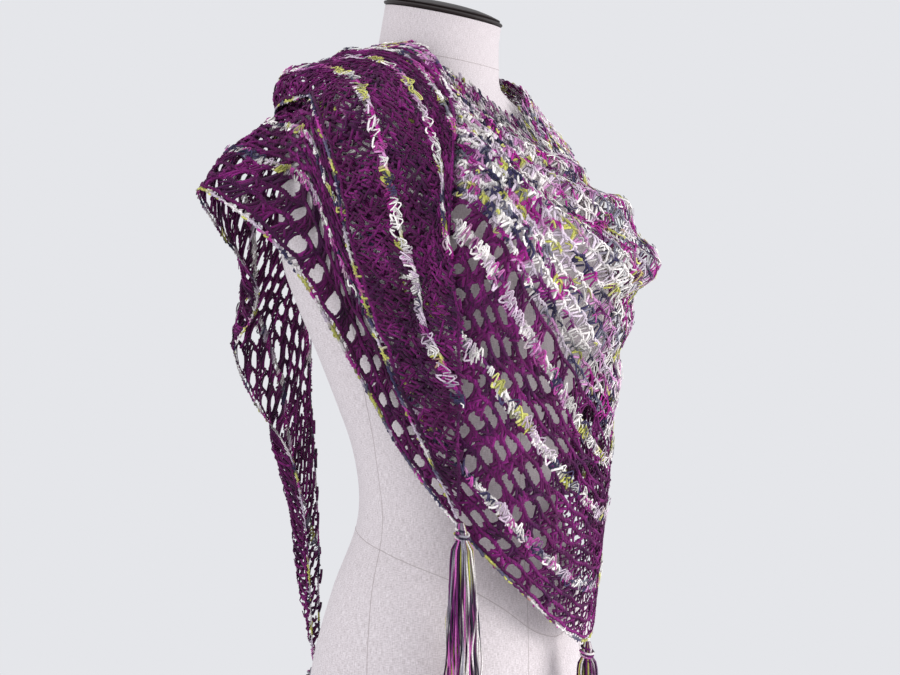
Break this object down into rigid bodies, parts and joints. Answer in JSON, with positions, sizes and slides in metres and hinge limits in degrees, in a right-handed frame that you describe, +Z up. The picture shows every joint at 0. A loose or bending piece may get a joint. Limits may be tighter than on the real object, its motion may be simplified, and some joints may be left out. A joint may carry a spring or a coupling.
{
  "type": "lace shawl on a dress form",
  "caption": "Crocheted triangular lace shawl with tasselled points, wrapped round a limbless linen dress form and crossed over one shoulder.",
  "frame": {"origin": "centre of the dress form's flat base", "axes": "+Z up, the front of the form towards -Y, the wearer's left towards +X"},
  "size_m": [0.4373, 0.4241, 0.847],
  "materials": {
    "linen": "woven, matt",
    "cap_paint": "dark stain, satin",
    "yarn": "crocheted cotton yarn, matt",
    "yarn_mixed": "variegated yarn, matt"
  },
  "bodies": {
    "root": {"dress_form": "linen", "neck_cap": "cap_paint", "shawl_back_tail": "yarn", "shawl_right_wing": "yarn", "shawl_front": "yarn", "shawl_left_shoulder": "yarn", "shawl_neck_wrap": "yarn", "shawl_front_tail": "yarn", "tassel_front": "yarn_mixed", "tassel_apex": "yarn_mixed", "tassel_back": "yarn_mixed"}
  },
  "joints": []
}
